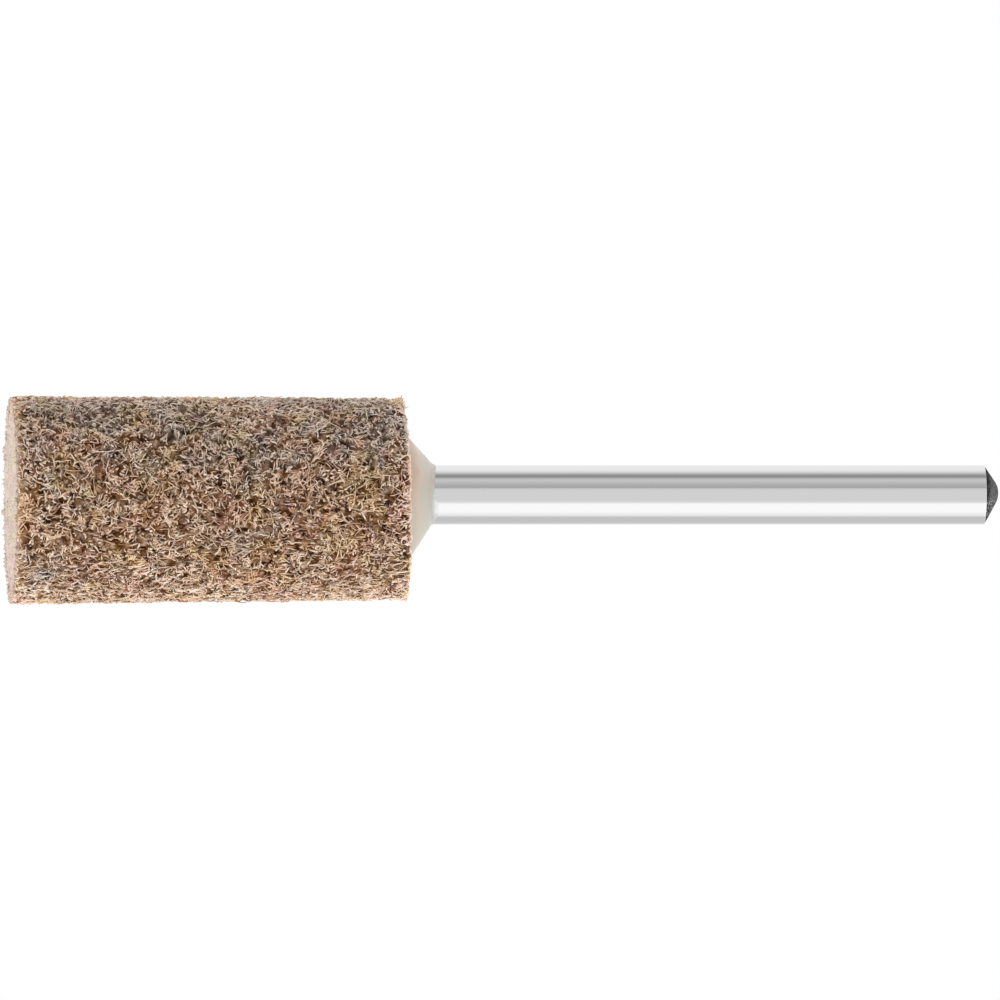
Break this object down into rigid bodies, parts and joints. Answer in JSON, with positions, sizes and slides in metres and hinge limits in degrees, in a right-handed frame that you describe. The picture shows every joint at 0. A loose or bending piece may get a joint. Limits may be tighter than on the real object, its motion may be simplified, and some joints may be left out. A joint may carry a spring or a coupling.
{
  "type": "felt polishing point",
  "caption": "Cylindrical felt polishing point: a coarse fibre head bonded with clear resin onto a round steel shank that a rotary tool's collet grips.",
  "frame": {"origin": "centre of the head's flat front face, on which the point stands", "axes": "+Z along the axis, from the front face through the head and out along the shank; X and Y are alike"},
  "size_m": [0.0104, 0.0104, 0.0503],
  "materials": {
    "fibre": "matte",
    "steel": "polished",
    "resin": "satin"
  },
  "bodies": {
    "root": {"polishing_head": "fibre", "shank": "steel", "bonding_resin": "resin"}
  },
  "joints": []
}
